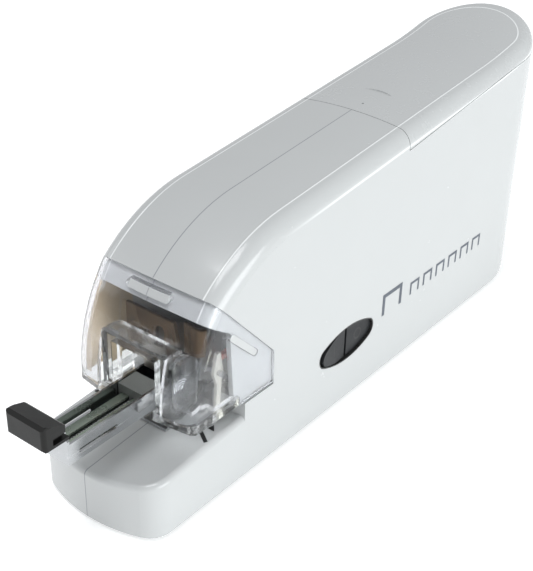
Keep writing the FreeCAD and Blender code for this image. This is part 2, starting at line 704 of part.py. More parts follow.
def staple_pusher():
    """Saddle over the core that the spring pulls against the staples."""
    clear = PART_GAP
    pusher = box(-MAG_IN + clear, MAG_IN - clear, PUSHER_S, PUSHER_S + PUSHER_LEN,
                 MAG_BOTTOM + MAG_T + clear, MAG_TOP - 0.2)
    pusher = pusher.cut(box(-CORE_HALF - clear, CORE_HALF + clear, PUSHER_S - 1, PUSHER_S + PUSHER_LEN + 1,
                            MAG_BOTTOM, CORE_TOP + clear))
    return pusher.fuse(box(-0.6, 0.6, PUSHER_S, PUSHER_S + 3, 33.4, CORE_TOP + 1))


def pusher_spring():
    start = MAG_FRONT + 4.3
    return coil(0.8, 0.2, 1.0, PUSHER_S - start - 0.2, Vector(0, back(start), 33.8), Vector(0, 1, 0))


def pull_tab():
    """Finger tab; its two jaws hold the magazine's tongue."""
    rear = TAB_FRONT + TAB_DEPTH
    profile = [
        (TAB_FRONT + 0.6, TAB_BOTTOM), (TAB_FRONT, TAB_BOTTOM + 0.6), (TAB_FRONT, TAB_TOP - 1.0),
        (TAB_FRONT + 1.2, TAB_TOP), (rear - 0.8, TAB_TOP - 1.9), (rear, TAB_TOP - 2.6),
        (rear, TONGUE_Z + 1.6), (TAB_FRONT + 3.4, TONGUE_Z + 1.6),
        (TAB_FRONT + 3.4, TONGUE_Z - 0.6), (rear + 1.2, TONGUE_Z - 0.6), (rear + 1.2, TAB_BOTTOM),
    ]
    half = TAB_W / 2.0
    tab = side_prism(profile, -half, half)
    soft = 1.4
    turn = soft * (1 - math.sqrt(0.5))
    front_s, end_s = TAB_FRONT, rear + 1.2
    plan = [
        (half, front_s + soft), (half, end_s), (-half, end_s), (-half, front_s + soft),
        (-half + soft, front_s, -half + turn, front_s + turn), (half - soft, front_s),
        (half, front_s + soft, half - turn, front_s + turn)]
    tab = tab.common(plan_prism(plan, TAB_BOTTOM - 1, TAB_TOP + 1))
    tab = tab.common(front_prism([
        (-half, TAB_BOTTOM - 1), (half, TAB_BOTTOM - 1), (half, TAB_TOP - 0.8), (half - 0.3, TAB_TOP - 0.3),
        (half - 0.9, TAB_TOP), (-half + 0.9, TAB_TOP), (-half + 0.3, TAB_TOP - 0.3),
        (-half, TAB_TOP - 0.8)], TAB_FRONT - 1, end_s + 1))
    tab = tab.fuse(box(-6.4, 6.4, TAB_FRONT + 3.0, rear, TONGUE_Z - 0.8, TONGUE_Z + 2))
    tab = tab.cut(box(-5.0, 5.0, MAG_FRONT - 6.0, 0, TONGUE_Z, TONGUE_Z + MAG_T))
    dimple = Part.makeSphere(2.0, Vector(2.5, back(TAB_FRONT + 5.6), TAB_TOP + 1.0))
    return tab.cut(dimple)


# ---- head, press arm and driver ------------------------------------------------------
def magazine_guide():
    """Steel channel that the magazine slides in; it swings down on the pivot shaft."""
    inside = MAG_HALF + HEAD_GAP
    outside = inside + 1.6
    floor = MAG_BOTTOM - HEAD_GAP
    guide = box(-outside, outside, 4, 100, floor - 1.2, 40.3)
    guide = guide.cut(box(-inside, inside, 3, 101, floor, 45))
    guide = guide.fuse(box(-outside, outside, 22, 28, MAG_TOP + HEAD_GAP, 40.3))
    for side in (-1, 1):
        x0, x1 = sorted((side * 4.6, side * outside))
        guide = guide.fuse(box(x0, x1, 30, 92, MAG_TOP + HEAD_GAP, 40.3))
        x0, x1 = sorted((side * inside, side * outside))
        ear = side_prism([
            (88, 36), (88, 40), (PIVOT_S - 4.5, PIVOT_Z),
            (PIVOT_S + 4.5, PIVOT_Z, PIVOT_S, PIVOT_Z + 4.5), (PIVOT_S + 4.5, 36),
        ], x0, x1)
        guide = guide.fuse(ear)
    return guide.cut(rod(PIVOT_R + SHAFT_CLEAR, -20, 20, PIVOT_S, PIVOT_Z)).removeSplitter()


ARM_IN = 8.7
ARM_OUT = 10.2
ARM_PLATE_Z = 46.6
ROLLER_Z = CAM_Z - CAM_REST


def press_arm():
    """Pressed-steel arm: two cheeks joined by a top plate, pushed down by the cam."""
    arm = box(-ARM_OUT, ARM_OUT, 1.2, 84, ARM_PLATE_Z, ARM_PLATE_Z + 1.2)
    arm = arm.cut(box(-5, 5, CAM_S - 7, CAM_S + 7, 40, 50))
    for side in (-1, 1):
        x0, x1 = sorted((side * ARM_IN, side * ARM_OUT))
        cheek = side_prism([
            (1.2, 41.6), (1.2, ARM_PLATE_Z + 1.2), (CAM_S - 7, ARM_PLATE_Z + 1.2),
            (CAM_S - 4.5, ROLLER_Z), (CAM_S + 4.5, ROLLER_Z, CAM_S, ROLLER_Z + 4.5),
            (CAM_S + 7, ARM_PLATE_Z + 1.2), (PIVOT_S - 4, ARM_PLATE_Z + 1.2),
            (PIVOT_S + 4.5, PIVOT_Z, PIVOT_S + 2.6, PIVOT_Z + 3.6), (PIVOT_S + 3, 41.6),
        ], x0, x1)
        arm = arm.fuse(cheek)
    arm = arm.cut(rod(PIVOT_R + SHAFT_CLEAR, -20, 20, PIVOT_S, PIVOT_Z))
    return arm.cut(rod(ROLLER_PIN_R, -20, 20, CAM_S, ROLLER_Z)).removeSplitter()


def roller_pin():
    return rod(ROLLER_PIN_R, -ARM_OUT - 0.4, ARM_OUT + 0.4, CAM_S, ROLLER_Z)


def cam_roller():
    return rod(ROLLER_R, -3.2, 3.2, CAM_S, ROLLER_Z).cut(rod(ROLLER_PIN_R, -5, 5, CAM_S, ROLLER_Z))


def driver_plate():
    """Bronze front plate that clamps the blade to the arm."""
    plate = front_prism([
        (-12.0, 46.0), (9.6, 46.0), (9.6, 54.0), (8.0, 60.6), (-12.0, 60.6)], 0, 1.2)
    plate = plate.cut(box(-4.4, -3.6, -1, 3, 46, 53.0)).cut(box(-6.0, -2.0, -1, 3, 53.0, 53.6))
    slot = box(0.6, 4.0, -1, 3, 49.0, 55.5).fuse(lengthwise(1.7, 2.3, -1, 3, 55.5))
    return plate.cut(slot)


def driver_blade():
    return box(-4.8, 4.8, -0.6, 0, 39.6, 52.0).cut(box(0.4, 4.2, -1, 1, 48.8, 53))


# ---- cam and gears -------------------------------------------------------------------
def gear_centres():
    """(s, z) of the cam gear, second gear, first gear and motor."""
    places = [(CAM_S, CAM_Z)]
    spans = [
        (CAM_MODULE * (CAM_TEETH + SMALL_TEETH) / 2, SECOND_ANGLE),
        (SECOND_MODULE * (SECOND_TEETH + SMALL_TEETH) / 2, FIRST_ANGLE),
        (FIRST_MODULE * (FIRST_TEETH + SMALL_TEETH) / 2, MOTOR_ANGLE),
    ]
    for span, degrees in spans:
        s, z = places[-1]
        angle = math.radians(degrees)
        places.append((s + span * math.cos(angle), z + span * math.sin(angle)))
    return places


def gear(teeth, module, centre, x0, x1, bore, tooth_at):
    """Spur gear across the stapler with one tooth pointing in the direction tooth_at."""
    pitch_r = teeth * module / 2.0
    base_r = pitch_r * math.cos(math.radians(20))
    tip_r = pitch_r + 0.9 * module
    root_r = pitch_r - 1.15 * module
    half_tooth = math.pi / (2 * teeth) * 0.90
    flank_start = max(base_r, root_r)

    def involute(radius):
        roll = math.sqrt(max((radius / base_r) ** 2 - 1, 0))
        return roll - math.atan(roll)

    def at(radius, angle):
        return (centre[0] + radius * math.cos(angle), centre[1] + radius * math.sin(angle))

    flank = []
    for step in range(4):
        radius = flank_start + (tip_r - flank_start) * step / 3.0
        flank.append((radius, half_tooth + involute(pitch_r) - involute(radius)))
    points = []
    for tooth in range(teeth):
        middle = tooth_at + 2 * math.pi * tooth / teeth
        points.append(at(root_r, middle - flank[0][1]))
        points += [at(radius, middle - lean) for radius, lean in flank]
        points += [at(radius, middle + lean) for radius, lean in reversed(flank)]
        points.append(at(root_r, middle + flank[0][1]))
    wheel = side_prism(points, x0, x1)
    return wheel.cut(rod(bore, x0 - 5, x1 + 5, centre[0], centre[1]))


def meshing_tooth(driver_tooth, driver_teeth, degrees, teeth):
    """Tooth direction of a gear whose gap meets its partner's tooth."""
    line = math.radians(degrees)
    return line + math.pi + ((line - driver_tooth) * driver_teeth - math.pi) / teeth


ROW_1 = GEAR_X
ROW_2 = GEAR_X + GEAR_T + ROW_GAP


def cam_gear():
    return gear(CAM_TEETH, CAM_MODULE, gear_centres()[0], ROW_1, ROW_1 + GEAR_T, CAM_SHAFT_R, 0.0)


def second_gear():
    """Large and small wheel in one moulding."""
    centre = gear_centres()[1]
    small = meshing_tooth(0.0, CAM_TEETH, SECOND_ANGLE, SMALL_TEETH)
    bore = SHAFT_R + SHAFT_CLEAR
    pinion = gear(SMALL_TEETH, CAM_MODULE, centre, ROW_1, ROW_2, bore, small)
    return pinion.fuse(gear(SECOND_TEETH, SECOND_MODULE, centre, ROW_2, ROW_2 + GEAR_T, bore, 0.0))


def first_gear():
    centre = gear_centres()[2]
    small = meshing_tooth(0.0, SECOND_TEETH, FIRST_ANGLE, SMALL_TEETH)
    bore = SHAFT_R + SHAFT_CLEAR
    wheel = gear(FIRST_TEETH, FIRST_MODULE, centre, ROW_1, ROW_1 + GEAR_T, bore, 0.0)
    pinion = gear(SMALL_TEETH, SECOND_MODULE, centre, ROW_1 + GEAR_T, ROW_2 + GEAR_T, bore, small)
    return wheel.fuse(pinion)


def motor_pinion():
    tooth = meshing_tooth(0.0, FIRST_TEETH, MOTOR_ANGLE, SMALL_TEETH)
    place = gear_centres()[3]
    return gear(SMALL_TEETH, FIRST_MODULE, place, ROW_1 - 0.2, ROW_1 + GEAR_T, MOTOR_SHAFT_R, tooth)


CAM_CLEAR = 0.25              # cam's edge to the roller


def cam():
    """Constant-rise cam: it pushes the arm down in step with its own turning."""
    lever = math.hypot(PIVOT_S - CAM_S, PIVOT_Z - ROLLER_Z)
    rise = lever * math.radians(ARM_TRAVEL) / math.radians(CAM_TRAVEL)
    lead = math.radians(8)
    travel = math.radians(CAM_TRAVEL)
    low, high = CAM_REST - rise * lead, CAM_REST + rise * (travel + lead)
    gap = 2 * math.pi - travel - 2 * lead

    def pitch(turn):
        """Roller distance and its slope after the cam has turned by turn."""
        if turn <= travel + lead:
            return CAM_REST + rise * turn, rise
        t = (turn - travel - lead) / gap
        value = (high * (2 * t ** 3 - 3 * t ** 2 + 1) + gap * rise * (t ** 3 - 2 * t ** 2 + t)
                 + low * (3 * t ** 2 - 2 * t ** 3) + gap * rise * (t ** 3 - t ** 2))
        slope = (high * (6 * t ** 2 - 6 * t) / gap + rise * (3 * t ** 2 - 4 * t + 1)
                 + low * (6 * t - 6 * t ** 2) / gap + rise * (3 * t ** 2 - 2 * t))
        return value, slope

    points = []
    count = 40
    for index in range(count):
        turn = -lead + 2 * math.pi * index / count
        distance, slope = pitch(turn)
        # the cam turns forwards, so later parts of its edge lie behind the roller
        angle = -math.pi / 2 - turn
        length = math.hypot(distance, slope)
        offset = ROLLER_R + CAM_CLEAR
        radial = distance - offset * distance / length
        tangent = -offset * slope / length
        s = CAM_S + radial * math.cos(angle) - tangent * math.sin(angle)
        z = CAM_Z + radial * math.sin(angle) + tangent * math.cos(angle)
        points.append(Vector(-3, back(s), z))
    curve = Part.BSplineCurve()
    curve.interpolate(points, PeriodicFlag=True)
    disc = Part.Face(Part.Wire(curve.toShape())).extrude(Vector(6, 0, 0))
    return disc.cut(rod(CAM_SHAFT_R, -10, 10, CAM_S, CAM_Z))


def cam_shaft():
    return rod(CAM_SHAFT_R, -CHASSIS_X - 2.2, GEAR_X + GEAR_T + 0.4, CAM_S, CAM_Z)


def gear_shafts():
    places = gear_centres()
    start = CHASSIS_X + 0.2
    return group([rod(SHAFT_R, start, 22.2, s, z) for s, z in places[1:3]])


def shaft_bushings():
    """Bronze bearings of the cam shaft, one in each side plate."""
    parts = []
    for x0 in (-CHASSIS_X - 1.6, CHASSIS_X - 0.4):
        bush = rod(4.0, x0, x0 + 2.0, CAM_S, CAM_Z)
        parts.append(bush.cut(rod(CAM_SHAFT_R + SHAFT_CLEAR, x0 - 1, x0 + 3, CAM_S, CAM_Z)))
    return group(parts)


# ---- motor ---------------------------------------------------------------------------
def motor_place():
    return gear_centres()[3]


BEARING_R = 3.1


def motor_can():
    """Drawn can with its closed end on the right side plate."""
    s, z = motor_place()
    wall = 0.8
    can = rod(MOTOR_R, CHASSIS_X - MOTOR_LEN + 4, CHASSIS_X, s, z)
    can = can.cut(rod(MOTOR_R - wall, CHASSIS_X - MOTOR_LEN + 3, CHASSIS_X - wall, s, z))
    return can.cut(rod(BEARING_R, CHASSIS_X - 2, CHASSIS_X + 1, s, z))


def motor_end_cap():
    s, z = motor_place()
    x0 = CHASSIS_X - MOTOR_LEN
    cap = rod(MOTOR_R - 0.1, x0 + 1.5, x0 + 4, s, z).fuse(rod(5, x0, x0 + 2, s, z))
    # the two terminals
    cap = cap.fuse(box(x0 - 3, x0 + 2, s - 8, s - 6.5, z - 1.5, z + 1.5))
    cap = cap.fuse(box(x0 - 3, x0 + 2, s + 6.5, s + 8, z - 1.5, z + 1.5))
    return cap.cut(rod(MOTOR_SHAFT_R + SHAFT_CLEAR, x0 - 1, x0 + 5, s, z))


def motor_bearing():
    s, z = motor_place()
    return rod(BEARING_R, CHASSIS_X - 1.4, CHASSIS_X + 0.8, s, z).cut(
        rod(MOTOR_SHAFT_R + SHAFT_CLEAR, CHASSIS_X - 3, CHASSIS_X + 3, s, z))


def motor_shaft():
    s, z = motor_place()
    return rod(MOTOR_SHAFT_R, CHASSIS_X - MOTOR_LEN + 0.4, GEAR_X + GEAR_T + 0.6, s, z)


def motor_armature():
    s, z = motor_place()
    core = rod(8.6, CHASSIS_X - MOTOR_LEN + 8, CHASSIS_X - 4, s, z)
    for index in range(3):
        angle = math.radians(120 * index + 60)
        core = core.cut(rod(2.2, -30, 30, s + 8.6 * math.cos(angle), z + 8.6 * math.sin(angle)))
    return core.cut(rod(MOTOR_SHAFT_R, -30, 30, s, z))


# ---- chassis -------------------------------------------------------------------------
SPACERS = [(66, 80.5), (109.0, 56), (38, 13), (106, 13)]


def chassis_plate(side):
    profile = [
        (30, FOOT_H + WALL), (46, FOOT_H + WALL), (46, 34), (98, 34), (98, FOOT_H + WALL),
        (111.4, FOOT_H + WALL), (111.4, 64), (100, 78), (72, 85), (60, 85), (30, 78),
    ]
    x0, x1 = sorted((side * CHASSIS_X, side * (CHASSIS_X + CHASSIS_T)))
    plate = side_prism(profile, x0, x1)
    plate = plate.cut(rod(4.0, -30, 30, CAM_S, CAM_Z)).cut(rod(PIVOT_R, -30, 30, PIVOT_S, PIVOT_Z))
    for s, z in SPACERS:
        plate = plate.cut(rod(1.0, -30, 30, s, z))
    s, z = motor_place()
    if side > 0:
        plate = plate.cut(rod(3.2, 0, 30, s, z))
        for ds in (-MOTOR_HOLE_PITCH, MOTOR_HOLE_PITCH):
            plate = plate.cut(rod(1.3, 0, 30, s + ds, z))
        for gs, gz in gear_centres()[1:3]:
            plate = plate.cut(rod(SHAFT_R, 0, 30, gs, gz))
    else:
        plate = plate.cut(rod(MOTOR_R + 0.2, -30, 0, s, z))
    return plate


def gear_plate():
    """Outer support for the gear shafts, on three posts from the right side plate."""
    inner, outer = 21.6, 22.5
    plate = side_prism([(56, 54), (92, 56), (92, 76), (78, 82), (56, 72)], inner, outer)
    for s, z in ((90, 80), (58.5, 82.5)):
        plate = plate.fuse(rod(2.0, CHASSIS_X + CHASSIS_T, outer, s, z))
    rim = [(56, 70), (56, 85), (62, 85), (90, 82), (92.5, 82), (92.5, 70)]
    plate = plate.fuse(side_prism(rim, inner, outer))
    for s, z in gear_centres()[1:3]:
        plate = plate.cut(rod(SHAFT_R, 10, 30, s, z))
    return plate.removeSplitter()


def chassis_spacers():
    return group([rod(2.4, -CHASSIS_X, CHASSIS_X, s, z) for s, z in SPACERS])


def chassis_screws():
    parts = []
    for s, z in SPACERS:
        for side in (-1, 1):
            head = Vector(side * (CHASSIS_X + CHASSIS_T + 1.1), back(s), z)
            parts.append(screw(2.2, 1.1, 1.0, CHASSIS_T, head, (-side, 0, 0)))
    return group(parts)


def motor_screws():
    s, z = motor_place()
    head_x = CHASSIS_X + CHASSIS_T + 0.7
    return group([screw(1.9, 0.7, 1.25, CHASSIS_T, Vector(head_x, back(s + ds), z), (-1, 0, 0))
                  for ds in (-MOTOR_HOLE_PITCH, MOTOR_HOLE_PITCH)])


def pivot_shaft():
    return rod(PIVOT_R, -CHASSIS_X - 2.0, CHASSIS_X + 2.0, PIVOT_S, PIVOT_Z)


def lift_spring():
    """Raises the head again; it stands on the housing floor under the guide."""
    floor = FOOT_H + WALL
    top = MAG_BOTTOM - HEAD_GAP - 1.2
    return coil(3.6, 0.6, 3.6, top - floor - 1.4, Vector(0, back(70), floor + 0.6), Vector(0, 0, 1))


def arm_spring():
    """Between the guide and the press arm: brings the magazine down ahead of the blade."""
    start = 40.3
    return coil(2.6, 0.4, 1.8, ARM_PLATE_Z - start - 1.0, Vector(0, back(25), start + 0.5), Vector(0, 0, 1))


# ---- base fittings -------------------------------------------------------------------
def anvil_plate():
    plate = box(-7.9, 7.9, -4.9, 4.9, 22.0, 22.9)
    for x in (-2.3, 2.3):
        plate = plate.cut(box(x - 1.9, x + 1.9, -0.9, 0.3, 22.5, 24))
    for x in (-6.2, 6.2):
        plate = plate.cut(post(0.9, x, 2.6, 20, 24)).cut(post(1.5, x, 2.6, 22.4, 24))
    return plate


def anvil_screws():
    return group([screw(1.5, 0.5, 0.9, 1.6, Vector(x, back(2.6), 22.9), (0, 0, -1)) for x in (-6.2, 6.2)])


# ---- paper sensor --------------------------------------------------------------------
LEVER_S, LEVER_Z = 7.0, 44.0
LEVER_X = 18.0
LEVER_PIN_R = 1.0
LEVER_T = 1.2
MICROSWITCH_HOLES = [(19.5, 51.0), (19.5, 43.4)]


def paper_lever():
    """Sprung finger in the throat; its upper arm works the small switch."""
    lever = side_prism([
        (LEVER_S - 1.2, 27.4), (LEVER_S + 0.4, 27.0), (LEVER_S + 1.4, 40), (LEVER_S + 2.2, LEVER_Z),
        (LEVER_S + 1.0, 51.0), (LEVER_S - 0.6, 51.0), (LEVER_S - 2.2, LEVER_Z), (LEVER_S - 0.8, 40),
    ], LEVER_X, LEVER_X + LEVER_T)
    return lever.cut(rod(LEVER_PIN_R + SHAFT_CLEAR, 10, 30, LEVER_S, LEVER_Z))


def lever_pin():
    return rod(LEVER_PIN_R, 15.0, 20.6, LEVER_S, LEVER_Z)


def sensor_bracket():
    bracket = side_prism([
        (3.6, 41), (3.6, 47), (9, 57), (22, 57), (24, 50), (30.6, 44), (30.6, 38), (12, 38)], 15.0, 16.0)
    bracket = bracket.fuse(box(CHASSIS_X + CHASSIS_T, 16.0, 32.0, 38.0, 36, 44))
    bracket = bracket.fuse(box(15.0, 16.0, 28.0, 38.0, 36, 44))
    return bracket.cut(rod(LEVER_PIN_R, 10, 30, LEVER_S, LEVER_Z)).removeSplitter()


def microswitch():
    case = box(16.0, 20.9, 12.4, 23.0, 41.5, 53.0)
    case = case.cut(box(17.5, 19.7, 11, 15.2, 47.8, 50.2))
    for s, z in MICROSWITCH_HOLES:
        case = case.cut(rod(0.7, 10, 30, s, z))
    return case


def microswitch_screws():
    return group([screw(1.3, 0.5, 0.7, 4.9, Vector(21.4, back(s), z), (-1, 0, 0))
                  for s, z in MICROSWITCH_HOLES])


def microswitch_plunger():
    start = LEVER_S + 1.55
    return box(17.8, 19.4, start, 15.0, 48.1, 49.9)


# ---- power switch --------------------------------------------------------------------
def rocker_outline(grow, x0, x1):
    """Oval prism: two long arcs for its edges run smoothly into the two small ends."""
    reach = SWITCH_LEN / 2 - SWITCH_END_R
    high = SWITCH_H / 2
    long_r = (reach ** 2 + high ** 2 - SWITCH_END_R ** 2) / (2 * (high - SWITCH_END_R))
    lean = math.atan2(long_r - high, reach)
    join_s = long_r * math.cos(lean) + grow * math.cos(lean)
    join_z = high - long_r + (long_r + grow) * math.sin(lean)
    tip = SWITCH_LEN / 2 + grow
    top = high + grow
    mid, level = SWITCH_S, SWITCH_Z
    return side_prism([
        (mid - join_s, level + join_z), (mid + join_s, level + join_z, mid, level + top),
        (mid + join_s, level - join_z, mid + tip, level),
        (mid - join_s, level - join_z, mid, level - top),
        (mid - join_s, level + join_z, mid - tip, level)], x0, x1)


ROCKER_TILT = 3.5             # each face's lean, and how far the rocker is tipped
ROCKER_AXIS_X = 20.0
ROCKER_VALLEY_X = 24.0        # where its two faces meet


def switch_rocker():
    """Oval rocker, two faces meeting in a groove; its rear half is pressed in."""
    rocker = rocker_outline(-0.95, 18.5, 28.0)
    tilt = math.tan(math.radians(ROCKER_TILT))
    for side in (-1, 1):
        reach = side * 30
        rocker = rocker.cut(plan_prism([
            (ROCKER_VALLEY_X, SWITCH_S), (40, SWITCH_S), (40, SWITCH_S + reach),
            (ROCKER_VALLEY_X + 30 * tilt, SWITCH_S + reach)], 0, 60))
    rocker = rocker.cut(box(ROCKER_VALLEY_X - 1.0, 30, SWITCH_S - 0.6, SWITCH_S + 0.6, 0, 60))
    pin = post(1.2, ROCKER_AXIS_X, SWITCH_S, SWITCH_Z - 8.2, SWITCH_Z + 8.2)
    rocker = rocker.fuse(pin)
    rocker.rotate(Vector(ROCKER_AXIS_X, back(SWITCH_S), 0), Vector(0, 0, 1), ROCKER_TILT)
    return rocker


def switch_body():
    """Case behind the wall with a collar in it; the rocker's stub pins turn in its sides."""
    case = box(13.6, HALF - WALL, SWITCH_S - 19.5, SWITCH_S + 19.5, SWITCH_Z - 9.5, SWITCH_Z + 9.5)
    case = case.fuse(rocker_outline(-0.05, HALF - WALL - 0.1, HALF))
    case = case.cut(rocker_outline(-0.45, 15.2, 30))
    return case.cut(post(1.2 + SHAFT_CLEAR, ROCKER_AXIS_X, SWITCH_S, SWITCH_Z - 8.4, SWITCH_Z + 8.4))


# ---- power ---------------------------------------------------------------------------
def battery_tray():
    length = CELL_LEN + 8.2
    tray = box(-22.4, 22.4, TRAY_S, TRAY_S + length, TRAY_Z, 80.0)
    tray = tray.cut(box(-21.9, 21.9, TRAY_S + 1, TRAY_S + length - 1, TRAY_Z + 1.2, 90))
    return tray


def cell_places():
    low = TRAY_Z + 1.2 + CELL_R
    return [(x * (CELL_PITCH - 0.2), low + row * (2 * CELL_R + 0.1)) for x in (-1, 0, 1) for row in (0, 1)]


def battery_cells():
    front = TRAY_S + 1.6
    parts = []
    for x, z in cell_places():
        cell = lengthwise(CELL_R, x, front, front + CELL_LEN - 1.2, z)
        nub = lengthwise(2.7, x, front + CELL_LEN - 1.2, front + CELL_LEN, z)
        parts.append(cell.fuse(nub))
    return group(parts)


def battery_contacts():
    rear = TRAY_S + CELL_LEN + 7.2
    plates = []
    for x in (-1, 0, 1):
        for s in (TRAY_S + 1.0, rear - 0.4):
            plates.append(box(x * 14.6 - 6, x * 14.6 + 6, s, s + 0.4, TRAY_Z + 3, 85))
    return group(plates)


def battery_springs():
    start = TRAY_S + 1.6 + CELL_LEN + 0.3
    length = TRAY_S + CELL_LEN + 6.8 - start
    return group([coil(2.4, 0.35, 1.3, length - 0.7, Vector(x, back(start + 0.2), z), Vector(0, 1, 0))
                  for x, z in cell_places()])


def dc_jack():
    barrel = lengthwise(JACK_R, 0, REAR - 14, REAR - 0.6, JACK_Z)
    barrel = barrel.cut(lengthwise(2.75, 0, REAR - 10, REAR + 1, JACK_Z))
    pin = lengthwise(1.0, 0, REAR - 11, REAR - 1.6, JACK_Z)
    block = box(-4.5, 4.5, REAR - 17, REAR - 9, JACK_Z - 6, JACK_Z + 5)
    block = block.cut(lengthwise(2.75, 0, REAR - 10, REAR + 1, JACK_Z))
    return barrel.fuse(block).fuse(pin)


def circuit_board():
    board = box(BOARD_X, BOARD_X + 1.6, 124, 184, 13.5, 48)
    for s, z in BOARD_PEGS:
        board = board.cut(rod(1.6, -30, 0, s, z))
    return board


def board_parts():
    """Relay, storage capacitor, regulator, control chip and two plugs."""
    x = BOARD_X + 1.6
    return group([
        box(x, x + 12, 130, 149, 30, 45),
        rod(5.0, x, x + 14, 160, 38),
        box(x, x + 4.4, 170, 180, 30, 40),
        box(x, x + 1.8, 152, 162, 18, 26),
        box(x, x + 6, 130, 142, 16, 22),
        box(x, x + 6, 168, 180, 16, 22)])


PARTS = {
    "front_cover": front_cover,
    "paper_guard": paper_guard,
    "battery_door": battery_door,
    "housing_screws": housing_screws,
    "rubber_feet": rubber_feet,
    "magazine_channel": magazine_channel,
    "magazine_end": magazine_end,
    "staple_core": staple_core,
    "staple_pusher": staple_pusher,
    "pusher_spring": pusher_spring,
    "pull_tab": pull_tab,
    "magazine_guide": magazine_guide,
    "press_arm": press_arm,
    "roller_pin": roller_pin,
    "cam_roller": cam_roller,
    "driver_plate": driver_plate,
    "driver_blade": driver_blade,
    "cam": cam,
    "cam_shaft": cam_shaft,
    "cam_gear": cam_gear,
    "second_gear": second_gear,
    "first_gear": first_gear,
    "gear_shafts": gear_shafts,
    "shaft_bushings": shaft_bushings,
    "motor_pinion": motor_pinion,
    "motor_shaft": motor_shaft,
    "motor_armature": motor_armature,
    "motor_can": motor_can,
    "motor_end_cap": motor_end_cap,
    "motor_bearing": motor_bearing,
    "motor_screws": motor_screws,
    "gear_plate": gear_plate,
    "chassis_spacers": chassis_spacers,
    "chassis_screws": chassis_screws,
    "pivot_shaft": pivot_shaft,
    "lift_spring": lift_spring,
    "arm_spring": arm_spring,
    "anvil_plate": anvil_plate,
    "anvil_screws": anvil_screws,
    "paper_lever": paper_lever,
    "lever_pin": lever_pin,
    "sensor_bracket": sensor_bracket,
    "microswitch": microswitch,
    "microswitch_screws": microswitch_screws,
    "microswitch_plunger": microswitch_plunger,
    "switch_rocker": switch_rocker,
    "switch_body": switch_body,
    "battery_tray": battery_tray,
    "battery_cells": battery_cells,
    "battery_contacts": battery_contacts,
    "battery_springs": battery_springs,
    "dc_jack": dc_jack,
    "circuit_board": circuit_board,
    "board_parts": board_parts,
}


def main():
    os.makedirs("parts", exist_ok=True)
    shapes = {name: make() for name, make in PARTS.items()}
    whole = housing()
    shapes["housing_right"] = housing_half(whole, 1)
    shapes["housing_left"] = housing_half(whole, -1)
    shapes["chassis_right"] = chassis_plate(1)
    shapes["chassis_left"] = chassis_plate(-1)
    for name, shape in shapes.items():
        shape.exportStep("parts/" + name + ".step")
        state = "" if shape.isValid() and shape.Solids else "  BAD"
        print(name, len(shape.Solids), round(shape.Volume, 1), state)


main()
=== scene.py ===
import json
import math
import bmesh
import bpy
from mathutils import Matrix, Vector
from mathutils.bvhtree import BVHTree


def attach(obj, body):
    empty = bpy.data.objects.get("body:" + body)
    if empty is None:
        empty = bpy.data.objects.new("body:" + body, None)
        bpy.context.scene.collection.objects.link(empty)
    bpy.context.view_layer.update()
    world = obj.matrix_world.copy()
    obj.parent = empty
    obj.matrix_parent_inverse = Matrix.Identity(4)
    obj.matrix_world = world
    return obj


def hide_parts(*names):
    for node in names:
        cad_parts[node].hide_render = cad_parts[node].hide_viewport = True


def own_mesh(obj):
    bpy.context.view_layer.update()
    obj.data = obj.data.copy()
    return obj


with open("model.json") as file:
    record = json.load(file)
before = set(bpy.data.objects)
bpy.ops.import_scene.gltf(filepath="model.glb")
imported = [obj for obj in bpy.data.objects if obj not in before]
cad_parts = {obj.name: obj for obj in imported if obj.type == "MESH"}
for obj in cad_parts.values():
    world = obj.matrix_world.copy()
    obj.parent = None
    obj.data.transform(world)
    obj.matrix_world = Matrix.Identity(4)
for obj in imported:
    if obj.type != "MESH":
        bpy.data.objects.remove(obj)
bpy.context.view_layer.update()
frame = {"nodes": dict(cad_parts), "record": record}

# Electric desk stapler: looks.  Metres, same frame as the CAD: nose towards -Y, switch on +X.
MM = 0.001
ROOF_FRONT = -76.5            # y of the roof's front edge in mm; s counts back from here


def at(x, s, z):
    """Point in metres from x, distance behind the roof's front edge, and height, all in mm."""
    return Vector((x * MM, (ROOF_FRONT + s) * MM, z * MM))


# ---- camera and light ----------------------------------------------------------------
CAMERA_PLACE = (0.210914, -0.293045, 0.251032)
CAMERA_ANGLES = (37.77, 30.81, 1.536)   # azimuth from the nose, elevation and roll, in degrees
SENSOR_WIDTH = 36
LENS = 72.94


def add_camera():
    azimuth, elevation, roll = (math.radians(a) for a in CAMERA_ANGLES)
    back = Vector((math.sin(azimuth) * math.cos(elevation),
                   -math.cos(azimuth) * math.cos(elevation), math.sin(elevation)))
    right = (-back).cross(Vector((0, 0, 1))).normalized()
    up = right.cross(-back)
    tilted_right = right * math.cos(roll) + up * math.sin(roll)
    tilted_up = up * math.cos(roll) - right * math.sin(roll)
    camera = bpy.data.objects.new("camera", bpy.data.cameras.new("camera"))
    bpy.context.scene.collection.objects.link(camera)
    turn = Matrix((tilted_right, tilted_up, back)).transposed()
    camera.matrix_world = Matrix.Translation(CAMERA_PLACE) @ turn.to_4x4()
    camera.data.sensor_fit = "AUTO"
    camera.data.sensor_width = SENSOR_WIDTH
    camera.data.lens = LENS
    camera.data.clip_start = 0.01
    bpy.context.scene.camera = camera


def add_lamp(name, place, target, size, energy, colour):
    lamp = bpy.data.objects.new(name, bpy.data.lights.new(name, "AREA"))
    lamp.data.shape = "RECTANGLE"
    lamp.data.size, lamp.data.size_y = size
    lamp.data.energy = energy
    lamp.data.color = colour
    lamp.location = place
    aim = Vector(target) - Vector(place)
    lamp.rotation_euler = aim.to_track_quat("-Z", "Y").to_euler()
    bpy.context.scene.collection.objects.link(lamp)


